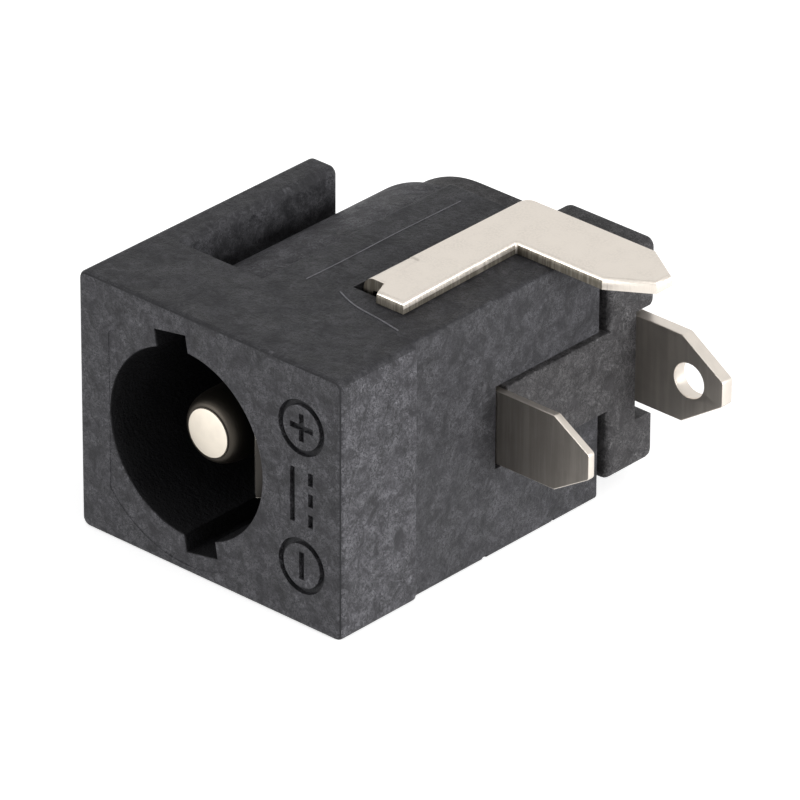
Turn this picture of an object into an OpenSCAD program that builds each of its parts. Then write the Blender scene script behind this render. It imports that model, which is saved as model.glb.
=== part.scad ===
// DC barrel jack for a printed circuit board, lying on one side.
// The origin is on the socket's axis, at the front face. +Y runs into the socket,
// +X points at the board, as the terminals' tails do, and +Z is up.

/* [Housing] */
// Height of the housing, from its bottom face to its top face
housing_h = 9; // [8.8:0.1:10.4]
// Length of the housing, from the front face to the rear face
housing_len = 12.1; // [11.6:0.1:14]
// Distance from the socket's axis to the faces that seat on the board
board_reach = 6.5; // [6.2:0.1:8]
// Distance from the socket's axis to the outer face of the side plate
plate_reach = 4.5; // [4.4:0.1:5.2]
// Thickness of the front flange
flange_t = 3.4; // [2.4:0.1:4.2]
// Length of the side plate, measured from the front face
plate_len = 10.5; // [5:0.5:11.5]
// Thickness of the side plate
plate_t = 1.2; // [0.8:0.1:1.6]
// Thickness of the barrel's wall around the socket
barrel_wall = 1.07; // [0.9:0.01:1.15]
// How far the body's board face stands back from the flange's
body_inset = 0.22; // [0.1:0.02:0.5]
// Radius of the long corners of the flange and of the side plate
corner_r = 0.3; // [0.1:0.05:0.4]
// Depth of the marks engraved in the front face
mark_depth = 0.08; // [0.04:0.01:0.2]
// Width of the engraved strokes
mark_stroke = 0.2; // [0.1:0.02:0.3]
// Radius of the engraved plus and minus rings
mark_r = 0.95; // [0.6:0.05:1.1]

/* [Socket] */
// Diameter of the socket's bore
bore_d = 6.4; // [6:0.1:6.6]
// Depth of the socket, from the front face to the insulator's nose
bore_depth = 9.9; // [9:0.1:10.6]
// Width of the two long grooves in the bore
groove_w = 1.3; // [0.6:0.1:1.8]
// Depth of the grooves below the bore's wall
groove_depth = 0.52; // [0.2:0.02:0.7]
// Turn of the grooves about the socket's axis, from upright
groove_turn = 10; // [0:1:20]

/* [Centre pin] */
// Diameter of the centre pin
pin_d = 2.4; // [2:0.1:2.6]
// Distance from the front face to the pin's nose
pin_recess = 1; // [0.6:0.1:3]
// Diameter of the flat on the pin's nose
pin_nose_d = 1.72; // [1:0.02:1.8]
// Length of the pin's rounded nose
pin_nose_len = 0.8; // [0.4:0.1:1.2]
// Diameter of the pin's stem, inside the insulator
stem_d = 1.5; // [1:0.1:1.7]
// Diameter of the riveted head behind the centre terminal
rivet_d = 2.3; // [2:0.1:2.7]
// Thickness of the riveted head
rivet_t = 0.4; // [0.2:0.05:0.46]

/* [Insulator] */
// Height of the insulator's rim and block
insulator_h = 7.86; // [7.4:0.02:8.6]
// Gap between the housing's rear face and the insulator's rim
rim_gap = 0.22; // [0.1:0.02:0.5]
// Thickness of the rim, which carries the centre terminal
rim_t = 1.24; // [0.8:0.02:1.6]
// Thickness of the block beside the board
block_t = 2.2; // [2.14:0.02:3]
// Width of the block, measured from the board
block_w = 3.7; // [2.4:0.1:4.4]
// Width of the tongue that closes the terminal channel
tongue_w = 2.78; // [2.7:0.02:3.2]
// Width of the step that the insulator's neck seats on
neck_step = 0.3; // [0.2:0.02:0.5]
// Depth of the terminal groove below the socket's axis
groove_below = 2.2; // [1.7:0.1:3]
// Height of the terminal groove above the socket's axis
groove_above = 1.64; // [1.6:0.02:2.6]

/* [Sleeve spring] */
// Distance from the front face to the sleeve terminal
sleeve_y = 7.28; // [7.2:0.02:8]
// Thickness of the sleeve spring's sheet
sleeve_t = 0.28; // [0.2:0.02:0.34]
// Width of the sleeve terminal
sleeve_w = 2.58; // [2:0.02:2.7]
// Width of the spring in the bore
spring_w = 2.1; // [1.4:0.1:2.4]
// How far the contact bow stands inside the bore's wall
bow_rise = 0.92; // [0.5:0.02:1.1]
// Length of the sleeve tail's full width beyond the board face
sleeve_shoulder = 2.15; // [1:0.05:2.4]

/* [Centre terminal] */
// Thickness of the centre terminal's sheet
centre_t = 0.48; // [0.3:0.02:0.5]
// Width of the centre terminal
centre_w = 3.04; // [2.6:0.02:3.1]
// Length of the centre tail's full width beyond the board face
centre_shoulder = 1.9; // [1:0.05:2.4]
// Diameter of the wire eye in the centre tail
eye_d = 1.2; // [0.6:0.1:1.4]
// Distance from the board face to the wire eye's centre
eye_reach = 2.19; // [1.6:0.01:2.2]

/* [Switch terminal] */
// Thickness of the switch terminal's sheet
switch_t = 0.4; // [0.3:0.02:0.5]
// Width of the strip along the housing's top face, from the bend line
strip_w = 1.7; // [1.4:0.02:2.2]
// Distance from the front face to the strip's near end
strip_front = 4.55; // [4.4:0.05:5]
// Distance from the front face to the strip's far end
strip_rear = 12.4; // [11.4:0.1:13]
// Width of the arm that reaches over the board
arm_w = 2.53; // [1.8:0.01:2.8]
// Length of the arm's full width beyond the board face
arm_shoulder = 1.75; // [1:0.05:2.2]
// Length of the switch terminal's tail beyond the board face
switch_tail = 3.17; // [2.6:0.01:4]
// How far the strip's free edge stands out from the bend line
strip_step = 0.14; // [0.05:0.01:0.3]
// Distance from the strip's near end to the leg
leg_back = 0.55; // [0.4:0.05:0.8]
// Length of the leg that is bent down into the housing
leg_len = 1.8; // [1.2:0.1:1.9]
// How far inside the bore's wall the leg's outer face stands
leg_inset = 0.48; // [0.3:0.02:0.6]
// Inner radius of the bend between the strip and the leg
bend_r = 0.05; // [0.03:0.01:0.12]
// Height of the leg's lower end above the socket's axis
leg_end = 1.6; // [1.5:0.05:2.4]

/* [Tails] */
// Length of the sleeve and centre tails beyond the board face
tail_len = 3.56; // [3.2:0.01:4.4]
// Width of the sleeve and centre tails at their tips
tip_w = 0.87; // [0.4:0.01:1.2]
// Width of the switch tail at its tip
switch_tip_w = 0.72; // [0.4:0.02:1.2]

/* [Clearances] */
// Side clearance of the insulator's neck and of the pin's stem
neck_fit = 0.02; // [0.01:0.01:0.05]
// Side clearance of the tongue and of the terminal in the channel
channel_fit = 0.06; // [0.02:0.01:0.15]
// Clearance in front of the sleeve terminal and behind the switch leg
slot_fit = 0.04; // [0.02:0.01:0.1]
// Room outside the switch leg, and in front of it, in its slot
slot_room = 0.22; // [0.1:0.02:0.3]
// Room around the spring in its pocket
spring_room = 0.2; // [0.1:0.02:0.3]
// Gap between the spring's ear and the switch terminal's leg
switch_gap = 0.1; // [0.05:0.01:0.2]

/* [Hidden] */
$fn = 64;
// How far a cut runs past the face it opens
over = 1;

half_h = housing_h / 2;
bore_r = bore_d / 2;
barrel_r = bore_r + barrel_wall;
body_face = board_reach - body_inset;
neck_r = bore_r + neck_step;
stem_hole_r = stem_d / 2 + neck_fit;

// The insulator: rim, block and tongue
rim_front = housing_len + rim_gap;
rim_rear = rim_front + rim_t;
tongue_front = sleeve_y + sleeve_t;
tongue_back = 0.1;
tongue_inner = bore_r + tongue_back;
channel_w = max(tongue_w, sleeve_w) + 2 * channel_fit;

// The leg of the switch terminal, its bend and its slot. The leg's outer face
// stands inside the bore's wall, where the spring's ear reaches it.
leg_outer = bore_r - leg_inset;
leg_inner = leg_outer + switch_t;
strip_left = leg_inner + bend_r;
strip_right = strip_left + strip_w;
leg_front = strip_front + leg_back;
leg_rear = leg_front + leg_len;
slot_front = leg_front - slot_room;
slot_left = leg_outer - slot_room;
relief_w = 0.33;
relief_run = 0.25;
corner_round = 0.4;
arm_front = strip_rear - arm_w;
arm_mid = strip_rear - arm_w / 2;

// The spring's centre line, from the sleeve terminal to the tip near the mouth
sheet_mid = sleeve_t / 2;
flat_x = leg_inner + switch_gap + sheet_mid;
bow_x = bore_r - bow_rise + sheet_mid;
bow_y = 0.95;
tip_y = 0.42;
tip_flare = 0.3;
tip_x = bow_x + tip_flare;
ramp_rear = 2.6;
root_y = sleeve_y + sheet_mid;
root_run = 0.42;
flat_front = 4.6;
spring_line = [
    [tip_x, tip_y], [bow_x, bow_y], [flat_x - tip_flare, ramp_rear], [flat_x, flat_front],
    [flat_x, root_y - root_run], [flat_x + root_run, root_y]
];
ear_inset = 0.4;
ear_front = leg_front + ear_inset;
ear_len = leg_len - 2 * ear_inset;
ear_lap = 0.7;
ear_top = leg_end + ear_lap;
pocket_front = 1.1;
pocket_depth = flat_x + sheet_mid + 3 * spring_room;
slot_right = pocket_depth;

// The engraved marks stand in a column between the bore and the board side
mark_x = (bore_r + board_reach) / 2;
mark_pitch = 2.4;
dash_gap = 0.28;

// An outline drawn in X and Z, given a thickness along Y from y0
module layer(y0, thickness) {
    translate([0, y0 + thickness, 0])
    rotate([90, 0, 0])
    linear_extrude(thickness)
    children();
}

// An outline drawn in X and Y, given a height along Z from z0
module slab(z0, height) {
    translate([0, 0, z0])
    linear_extrude(height)
    children();
}

// A rectangle from x0 to x1, centred on the axis in height
module block_outline(x0, x1, height) {
    translate([x0, -height / 2])
    square([x1 - x0, height]);
}

// The same rectangle with round corners
module soft_outline(x0, x1, height, radius) {
    for (x = [x0 + radius, x1 - radius], z = [radius - height / 2, height / 2 - radius])
        translate([x, z])
        circle(radius);
    block_outline(x0 + radius, x1 - radius, height);
    block_outline(x0, x1, height - 2 * radius);
}

// A flat tail along X: full width up to the shoulder, then tapered to the tip
module tail_outline(start, shoulder, tip, width, end_width) {
    polygon([
        [start, -width / 2], [shoulder, -width / 2], [tip, -end_width / 2],
        [tip, end_width / 2], [shoulder, width / 2], [start, width / 2]
    ]);
}

// One straight length of bent sheet, seen on edge
module sheet_run(from, to, thickness) {
    run = to - from;
    translate(from)
    rotate(atan2(run[1], run[0]))
    translate([0, -thickness / 2])
    square([norm(run), thickness]);
}

module housing_solid() {
    layer(0, flange_t)
    soft_outline(-plate_reach, board_reach, housing_h, corner_r);
    layer(0, plate_len)
    soft_outline(-plate_reach, plate_t - plate_reach, housing_h, corner_r);
    layer(0, housing_len)
    circle(barrel_r);
    layer(0, housing_len)
    block_outline(0, body_face, housing_h);
}

module socket_cut() {
    layer(-over, bore_depth + 2 * over)
    circle(bore_r);
    layer(-over, bore_depth + over)
    rotate(groove_turn)
    square([groove_w, bore_d + 2 * groove_depth], center = true);
    layer(bore_depth, housing_len)
    circle(neck_r);
}

// The spring's pocket opens into the bore, and the channel behind it opens
// at the board face and at the rear
module spring_cut() {
    layer(pocket_front, sleeve_y - pocket_front)
    block_outline(0, pocket_depth, spring_w + 2 * spring_room);
    layer(sleeve_y - slot_fit, housing_len)
    block_outline(0, board_reach + over, channel_w);
}

module switch_cut() {
    slab(0, housing_h)
    translate([slot_left, slot_front])
    square([slot_right - slot_left, leg_rear + slot_fit - slot_front]);
}

module ring_mark() {
    difference() {
        circle(mark_r);
        circle(mark_r - mark_stroke);
    }
    square([mark_stroke, mark_r], center = true);
}

// Plus and minus in rings, with the direct current sign between them
module polarity_marks() {
    layer(-over, over + mark_depth)
    translate([mark_x, 0]) {
        translate([0, mark_pitch]) {
            ring_mark();
            square([mark_r, mark_stroke], center = true);
        }
        translate([0, -mark_pitch])
        ring_mark();
        translate([-mark_r / 2, -mark_r])
        square([mark_stroke, 2 * mark_r]);
        for (dash = [0:2])
            translate([mark_r / 2 - mark_stroke, -mark_r + dash * (2 * mark_r + dash_gap) / 3])
            square([mark_stroke, (2 * mark_r - 2 * dash_gap) / 3]);
    }
}

module housing() {
    color("#3c3c3f")
    difference() {
        housing_solid();
        socket_cut();
        spring_cut();
        switch_cut();
        polarity_marks();
    }
}

// One moulding: a neck in the socket's rear, a rim behind the housing, a block
// beside the board and a tongue that runs forward to the sleeve terminal
module rear_insulator() {
    color("#4a4a4d")
    difference() {
        union() {
            layer(bore_depth, rim_front - bore_depth + rim_t / 2)
            circle(neck_r - neck_fit);
            layer(rim_front, rim_t) {
                circle(d = insulator_h);
                block_outline(0, board_reach, insulator_h);
            }
            layer(rim_front, block_t)
            block_outline(board_reach - block_w, board_reach, insulator_h);
            layer(tongue_front, rim_rear - tongue_front)
            block_outline(tongue_inner, board_reach, tongue_w);
        }
        layer(bore_depth - over, rim_rear - bore_depth + 2 * over)
        circle(stem_hole_r);
        layer(rim_rear, block_t)
        translate([0, -groove_below])
        square([board_reach + over, groove_below + groove_above]);
    }
}

// Turned pin: round nose, contact shaft, thin stem and riveted head
module centre_pin() {
    nose_r = pin_nose_d / 2;
    grow = pin_d / 2 - nose_r;
    terminal_rear = rim_rear + centre_t;
    color("#d8d4cc")
    rotate([-90, 0, 0])
    rotate_extrude()
    polygon([
        [0, pin_recess],
        for (turn = [0:15:90])
            [nose_r + grow * sin(turn), pin_recess + pin_nose_len * (1 - cos(turn))],
        [pin_d / 2, bore_depth], [stem_d / 2, bore_depth],
        [stem_d / 2, terminal_rear], [rivet_d / 2, terminal_rear],
        [rivet_d / 2, terminal_rear + rivet_t], [0, terminal_rear + rivet_t]
    ]);
}

// Flat plate on the rim's rear face, with a tail that carries a wire eye
module centre_terminal() {
    color("#c9c5bd")
    layer(rim_rear, centre_t)
    difference() {
        union() {
            circle(d = centre_w);
            tail_outline(0, board_reach + centre_shoulder, board_reach + tail_len,
                         centre_w, tip_w);
        }
        circle(stem_hole_r);
        translate([board_reach + eye_reach, 0])
        circle(d = eye_d);
    }
}

// The sleeve's contact: a tail in front of the tongue and a spring that runs
// forward beside the bore and bows into it
module sleeve_spring() {
    runs = len(spring_line);
    color("#d2cec6") {
        layer(sleeve_y, sleeve_t)
        tail_outline(spring_line[runs - 1][0], board_reach + sleeve_shoulder,
                     board_reach + tail_len, sleeve_w, tip_w);
        slab(-spring_w / 2, spring_w)
        for (i = [1:runs - 1]) {
            sheet_run(spring_line[i - 1], spring_line[i], sleeve_t);
            translate(spring_line[i - 1])
            circle(d = sleeve_t);
            translate(spring_line[i])
            circle(d = sleeve_t);
        }
        slab(0, ear_top)
        translate([flat_x - sheet_mid, ear_front])
        square([sleeve_t, ear_len]);
    }
}

// L-shaped strip on the top face, with an arm over the board and a leg that
// is bent down beside the spring
module switch_outline() {
    shoulder = board_reach + arm_shoulder;
    tip = board_reach + switch_tail;
    free_edge = strip_left - strip_step;
    polygon([
        [strip_left, leg_front], [strip_left + relief_w, leg_front],
        [strip_left + relief_w + relief_run, strip_front], [strip_right, strip_front],
        [strip_right, arm_front], [shoulder, arm_front],
        [tip, arm_mid - switch_tip_w / 2], [tip, arm_mid + switch_tip_w / 2],
        [shoulder, strip_rear], [free_edge + corner_round, strip_rear],
        [free_edge, strip_rear - corner_round], [free_edge, leg_rear],
        [strip_left, leg_rear]
    ]);
    translate([free_edge + corner_round, strip_rear - corner_round])
    circle(corner_round);
}

module switch_terminal() {
    bend_outer = bend_r + switch_t;
    color("#d8d4cc") {
        slab(half_h, switch_t)
        switch_outline();
        layer(leg_front, leg_len)
        translate([strip_left, half_h - bend_r])
        intersection() {
            difference() {
                circle(bend_outer);
                circle(bend_r);
            }
            translate([-bend_outer, 0])
            square(bend_outer);
        }
        slab(leg_end, half_h - bend_r - leg_end)
        translate([leg_outer, leg_front])
        square([switch_t, leg_len]);
    }
}

housing();
rear_insulator();
centre_pin();
centre_terminal();
sleeve_spring();
switch_terminal();
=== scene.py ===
# %% [markdown]
# # A DC barrel jack, lying on its side
#
# The real thing is a small board connector: a charcoal moulding with a round
# socket, a turned pin on the socket's axis, and three stamped metal tails. This
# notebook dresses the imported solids: it rebuilds each piece as a mesh with soft
# edges, gives each surface a finish made of shader nodes, and sets up a table,
# soft light and a long lens.
#
# The frame comes first, because every size below is read from it where it can be.

from math import atan2, cos, degrees, hypot, pi, radians, sin

import bmesh
import bpy
from mathutils import Matrix, Vector


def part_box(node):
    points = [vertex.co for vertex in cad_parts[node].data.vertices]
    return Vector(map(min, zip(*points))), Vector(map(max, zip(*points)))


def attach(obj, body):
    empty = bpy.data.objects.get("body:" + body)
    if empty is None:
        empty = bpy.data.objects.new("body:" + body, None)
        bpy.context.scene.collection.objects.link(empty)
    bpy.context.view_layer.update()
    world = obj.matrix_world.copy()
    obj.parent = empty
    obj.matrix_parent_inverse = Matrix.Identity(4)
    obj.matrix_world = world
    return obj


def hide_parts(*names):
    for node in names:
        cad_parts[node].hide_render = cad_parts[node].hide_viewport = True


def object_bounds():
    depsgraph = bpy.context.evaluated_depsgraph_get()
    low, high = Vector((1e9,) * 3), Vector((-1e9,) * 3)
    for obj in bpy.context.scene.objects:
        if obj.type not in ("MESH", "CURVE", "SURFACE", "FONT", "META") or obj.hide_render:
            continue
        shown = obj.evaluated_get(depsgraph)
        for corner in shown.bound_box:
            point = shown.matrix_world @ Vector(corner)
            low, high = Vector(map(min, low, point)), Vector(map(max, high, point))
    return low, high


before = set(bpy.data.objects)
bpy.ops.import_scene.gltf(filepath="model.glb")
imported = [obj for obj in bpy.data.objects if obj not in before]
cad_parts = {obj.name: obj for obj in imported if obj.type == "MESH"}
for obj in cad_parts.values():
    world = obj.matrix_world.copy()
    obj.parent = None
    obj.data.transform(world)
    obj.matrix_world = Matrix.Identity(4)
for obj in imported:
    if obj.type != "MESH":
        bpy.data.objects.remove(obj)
cad_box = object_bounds()
MM = 0.001
print("nodes:", ", ".join(sorted(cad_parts)))


def box_mm(node):
    """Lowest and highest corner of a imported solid, in millimetres."""
    low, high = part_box(node)
    return low / MM, high / MM


HOUSING_LOW, HOUSING_HIGH = box_mm("housing")
INSULATOR_LOW, INSULATOR_HIGH = box_mm("rear_insulator")
print("housing, mm:", HOUSING_LOW[:], HOUSING_HIGH[:])

# %% [markdown]
# ## Outlines, and prisms with soft edges
#
# Everything here is moulded in a straight-pull tool, stamped from sheet or turned,
# so each piece starts as a flat outline that is given a depth. A bevel modifier
# could round the ends, but it struggles where round and square forms meet. So each
# prism is lofted through copies of its outline: at an end with a rounded edge the
# copies are inset along a quarter circle, which gives an exact soft edge with no
# guesswork. The same loft with the steps reversed makes a cutter with a flared mouth.
# A corner of the outline needs a larger radius than the soft edge, or the inset copies
# would cross themselves there.

# %% Outline helpers
def arc(centre, radius, start, end, steps):
    """Points along an arc, in degrees, both ends included."""
    angles = [radians(start + (end - start) * i / steps) for i in range(steps + 1)]
    return [(centre[0] + radius * cos(a), centre[1] + radius * sin(a)) for a in angles]


def disc(radius, steps=144, centre=(0.0, 0.0)):
    """A whole circle as a closed outline."""
    return arc(centre, radius, 0, 360 - 360 / steps, steps - 1)


def soft_rectangle(x0, x1, z0, z1, radius, steps=6):
    """A rectangle whose four corners are quarter circles."""
    return (arc((x1 - radius, z0 + radius), radius, -90, 0, steps)
            + arc((x1 - radius, z1 - radius), radius, 0, 90, steps)
            + arc((x0 + radius, z1 - radius), radius, 90, 180, steps)
            + arc((x0 + radius, z0 + radius), radius, 180, 270, steps))


def soften(points, radii, steps=5):
    """A polygon, drawn anticlockwise, with each corner rounded by its own radius."""
    loop = []
    for i, corner in enumerate(points):
        here = Vector(corner)
        back = (Vector(points[i - 1]) - here).normalized()
        ahead = (Vector(points[(i + 1) % len(points)]) - here).normalized()
        if radii[i] <= 0:
            loop.append(tuple(here))
            continue
        half = back.angle(ahead) / 2
        middle = here + (back + ahead).normalized() * radii[i] / sin(half)
        reach = radii[i] / max(1e-6, abs(sin(half) / cos(half)))
        start, stop = here + back * reach, here + ahead * reach
        a0 = atan2(start.y - middle.y, start.x - middle.x)
        turn = atan2(stop.y - middle.y, stop.x - middle.x) - a0
        turn = (turn + pi) % (2 * pi) - pi
        loop += [(middle.x + radii[i] * cos(a0 + turn * k / steps),
                  middle.y + radii[i] * sin(a0 + turn * k / steps)) for k in range(steps + 1)]
    return loop


def grow(loop, distance):
    """A closed anticlockwise outline moved outward by a distance, or inward if negative."""
    moved = []
    for i, point in enumerate(loop):
        here = Vector(point)
        before = (here - Vector(loop[i - 1])).normalized()
        after = (Vector(loop[(i + 1) % len(loop)]) - here).normalized()
        out = Vector((before.y, -before.x)) + Vector((after.y, -after.x))
        out /= max(0.2, 1 + before.dot(after))
        moved.append(tuple(here + out * distance))
    return moved


# %% Lofting helpers
def rounded(start, end, start_round=0.0, end_round=0.0, steps=4):
    """Steps of (growth, depth) for a prism whose end edges are rounded."""
    path = []
    for k in range(steps + 1 if start_round else 0):
        a = pi / 2 * k / steps
        path.append((start_round * (sin(a) - 1), start + start_round * (1 - cos(a))))
    path = path or [(0.0, start)]
    tail = [(0.0, end)]
    if end_round:
        angles = [pi / 2 * k / steps for k in range(steps + 1)]
        tail = [(end_round * (cos(a) - 1), end - end_round * (1 - sin(a))) for a in angles]
    return path + tail


def flared(mouth, end, radius, before=1.0, steps=4):
    """Steps for a cutter that leaves a rounded rim where it enters a face at mouth."""
    angles = [pi / 2 * k / steps for k in range(steps + 1)]
    rim = [(radius * (1 - sin(a)), mouth + radius * (1 - cos(a))) for a in angles]
    return [(radius, mouth - before)] + rim + [(0.0, end)]


PLACES = {
    "Y": lambda u, v, depth: Vector((u, depth, v)) * MM,
    "Z": lambda u, v, depth: Vector((u, v, depth)) * MM,
}


def loft(name, loop, path, along="Y"):
    """A closed solid through copies of an outline, each grown and set at its depth."""
    bm = bmesh.new()
    place = PLACES[along]
    rings = [[bm.verts.new(place(u, v, depth)) for u, v in grow(loop, growth)]
             for growth, depth in path]
    count = len(loop)
    for lower, upper in zip(rings, rings[1:]):
        for i in range(count):
            bm.faces.new((lower[i], lower[(i + 1) % count],
                          upper[(i + 1) % count], upper[i]))
    bm.faces.new(rings[0])
    bm.faces.new(list(reversed(rings[-1])))
    bmesh.ops.recalc_face_normals(bm, faces=bm.faces)
    mesh = bpy.data.meshes.new(name)
    bm.to_mesh(mesh)
    bm.free()
    piece = bpy.data.objects.new(name, mesh)
    bpy.context.scene.collection.objects.link(piece)
    return piece


def combine(piece, others, operation):
    """Join solids to a piece, or cut them out of it, and delete them."""
    for other in others:
        step = piece.modifiers.new(operation.title(), "BOOLEAN")
        step.operation = operation
        step.solver = "EXACT"
        step.object = other
        with bpy.context.temp_override(object=piece, active_object=piece):
            bpy.ops.object.modifier_apply(modifier=step.name)
        bpy.data.objects.remove(other)
    return piece


# %% [markdown]
# ## Finishing a mesh
#
# A join can leave two points on top of each other, so those are welded first. Then
# each narrow strip of rounding is told apart from the broad faces, and that is stored
# on the mesh as an attribute named `edge`. Rubbing wears the edges first, so the
# finishes use it to decide where to go pale. A second face attribute holds a tone for
# each broad face. Part of it is how scuffed or burnished the face is, because a moulding's faces are
# not all polished alike. Part of it is painted light, shade and reflection, with faces painted
# lighter or darker by how light falls on them.

# %% Finishing helpers
EDGE_STRIP = 0.13
WELD = 0.002
FULL_EDGE, FADED_EDGE = 1.0, 0.45


def tidy(piece):
    """Weld points that a join left on top of each other, and drop faces with no area."""
    bm = bmesh.new()
    bm.from_mesh(piece.data)
    bmesh.ops.remove_doubles(bm, verts=bm.verts, dist=WELD * MM)
    bmesh.ops.dissolve_degenerate(bm, edges=bm.edges, dist=WELD * MM)
    bm.to_mesh(piece.data)
    bm.free()


def store_edges(piece, strip=EDGE_STRIP):
    """Store 1 on narrow convex strips and 0 on broad faces."""
    tidy(piece)
    bm = bmesh.new()
    bm.from_mesh(piece.data)
    bm.normal_update()
    narrow = set()
    for face in bm.faces:
        longest = max(edge.calc_length() for edge in face.edges)
        turns = [edge.calc_face_angle_signed(0.0) for edge in face.edges]
        if face.calc_area() / longest < strip * MM and max(turns) > radians(9):
            narrow.add(face.index)
    values = []
    for face in bm.faces:
        for loop in face.loops:
            touches = [other.index in narrow for other in loop.vert.link_faces]
            level = FULL_EDGE if all(touches) else FADED_EDGE
            values.append(level if face.index in narrow else 0.0)
    bm.free()
    layer = piece.data.attributes.new("edge", "FLOAT", "CORNER")
    layer.data.foreach_set("value", values)
    return len(narrow)


def store_wear_and_painted_light(piece, how_rubbed):
    """Store on each face a tone from its centre and normal: how scuffed or burnished it is, and painted
    light, shade and reflection.
    """
    layer = piece.data.attributes.new("wear_and_painted_light", "FLOAT", "FACE")
    for face in piece.data.polygons:
        layer.data[face.index].value = how_rubbed(face.center / MM, face.normal)


def smooth(piece):
    """Smooth shading whose normals follow the broad faces."""
    piece.data.shade_smooth()
    piece.data.set_sharp_from_angle(angle=radians(50))
    weigh = piece.modifiers.new("Normals", "WEIGHTED_NORMAL")
    weigh.keep_sharp = True


def dress(piece, node, finish):
    """Give a finished piece its material and put it in its node's place."""
    piece.data.materials.clear()
    piece.data.materials.append(finish)
    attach(piece, "root")
    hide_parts(node)
    triangles = sum(len(face.vertices) - 2 for face in piece.data.polygons)
    print(f"{piece.name}: {triangles} triangles")


# %% [markdown]
# ## The housing
#
# The housing is one moulding: a square flange at the front, a thin side plate, a
# round barrel about the socket and a square body on the board side. It could be
# modelled face by face, but the forms are all straight prisms along the socket's
# axis, so they are lofted one by one, joined, and then the socket, the spring's
# pocket, the terminal channel and the switch slot are cut, each by its own cutter.

# %% The housing's sizes
LEFT, BOARD_SIDE = HOUSING_LOW.x, HOUSING_HIGH.x
TOP, BOTTOM = HOUSING_HIGH.z, HOUSING_LOW.z
REAR = HOUSING_HIGH.y
FLANGE_T = 3.4
PLATE_T = 1.2
PLATE_LEN = 10.5
BARREL_R = 4.27
BORE_R = 3.2
BORE_DEPTH = 9.9
NECK_R = 3.5
BODY_FACE = BOARD_SIDE - 0.22
BODY_TOP = TOP - 0.03
CORNER_R = 0.3
INTO_FLANGE = FLANGE_T - 0.4
print("body stands back from the flange by", round(BOARD_SIDE - BODY_FACE, 2), "mm")

# %% The housing's outer forms
housing = loft("housing_moulding",
               soft_rectangle(LEFT, BOARD_SIDE, BOTTOM, TOP, CORNER_R),
               rounded(0.0, FLANGE_T, 0.15, 0.05))
side_plate = loft("side_plate",
                  soft_rectangle(LEFT, LEFT + PLATE_T, BOTTOM, TOP, CORNER_R),
                  rounded(INTO_FLANGE, PLATE_LEN, 0.0, 0.2))
barrel = loft("barrel", disc(BARREL_R, 160), rounded(INTO_FLANGE, REAR, 0.0, 0.14))
body = loft("body", soft_rectangle(0.0, BODY_FACE, -BODY_TOP, BODY_TOP, 0.12, 4),
            rounded(INTO_FLANGE, REAR, 0.0, 0.1))
combine(housing, [side_plate, barrel, body], "UNION")
print("housing forms joined:", len(housing.data.polygons), "faces")

# %% [markdown]
# ### The socket
#
# The socket is round, with two grooves that run the full depth. Bore and grooves are
# one outline, so that one cutter with a flared mouth rounds the whole rim at once.

# %% The socket's outline
GROOVE_HALF = 0.65
GROOVE_R = 3.72
GROOVE_TURN = 10


def socket_outline():
    """The bore's circle with a square groove at the top and at the bottom."""
    reach = degrees(atan2(GROOVE_HALF, (BORE_R ** 2 - GROOVE_HALF ** 2) ** 0.5))
    loop = []
    for middle in (90 + GROOVE_TURN, 270 + GROOVE_TURN):
        out = Vector((cos(radians(middle)), sin(radians(middle))))
        side = Vector((-out.y, out.x))
        loop += [tuple(out * GROOVE_R + side * offset) for offset in (-GROOVE_HALF, GROOVE_HALF)]
        loop += arc((0, 0), BORE_R, middle + reach, middle + 180 - reach, 62)
    return loop


print("socket outline:", len(socket_outline()), "points")

# %% Cut the socket and what opens into it
CHANNEL_HALF = 1.45
CHANNEL_FRONT = 7.24
POCKET_BACK = 4.1
SLOT_LEFT, SLOT_FRONT, SLOT_REAR = 2.5, 4.88, 6.94
NICK_REACH = 0.3


def block(name, x_span, y_span, z_span):
    """A plain cutter."""
    outline = [(x_span[0], z_span[0]), (x_span[1], z_span[0]),
               (x_span[1], z_span[1]), (x_span[0], z_span[1])]
    return loft(name, outline, [(0.0, y_span[0]), (0.0, y_span[1])])


def nick(name, along, length):
    """A small chip in the body's lower edge on the board side."""
    outline = [(BODY_FACE - NICK_REACH, BOTTOM - 0.1), (BODY_FACE + 0.1, BOTTOM - 0.1),
               (BODY_FACE + 0.1, BOTTOM + NICK_REACH)]
    return loft(name, outline, [(-0.05, along - length), (0.0, along), (-0.04, along + length)])


cutters = [
    loft("socket_cut", socket_outline(), flared(0.0, BORE_DEPTH, 0.07)),
    loft("neck_cut", disc(NECK_R), [(0.0, BORE_DEPTH), (0.0, REAR + 1)]),
    block("pocket_cut", (0.5, POCKET_BACK), (1.1, CHANNEL_FRONT + 0.1), (-1.25, 1.25)),
    block("channel_cut", (2.6, BOARD_SIDE + 1), (CHANNEL_FRONT, REAR + 1),
          (-CHANNEL_HALF, CHANNEL_HALF)),
    block("slot_cut", (SLOT_LEFT, POCKET_BACK - 0.2), (SLOT_FRONT, SLOT_REAR), (0.6, TOP + 1)),
    nick("near_nick", 6.81, 0.12),
    nick("far_nick", 10.0, 0.07),
]
combine(housing, cutters, "DIFFERENCE")
print("after cutting:", len(housing.data.polygons), "faces")

# %% [markdown]
# ### Marks in the front face
#
# The maker engraves signs beside the socket. A plus and a minus in rings, with the
# direct current sign between them, say what a power jack needs to say. They are cut
# as real grooves, because a painted mark would lose its edge when the light moves.

# %% Engrave the polarity marks
MARK_X = (BORE_R + BOARD_SIDE) / 2
MARK_PITCH = 2.4
MARK_R = 0.95
STROKE = 0.2
DASH_GAP = 0.28
MARK_DEPTH = 0.16


def stroke(x0, x1, z0, z1):
    """A straight engraved bar."""
    return block("bar_cut", (x0, x1), (-1.0, MARK_DEPTH), (z0, z1))


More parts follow.
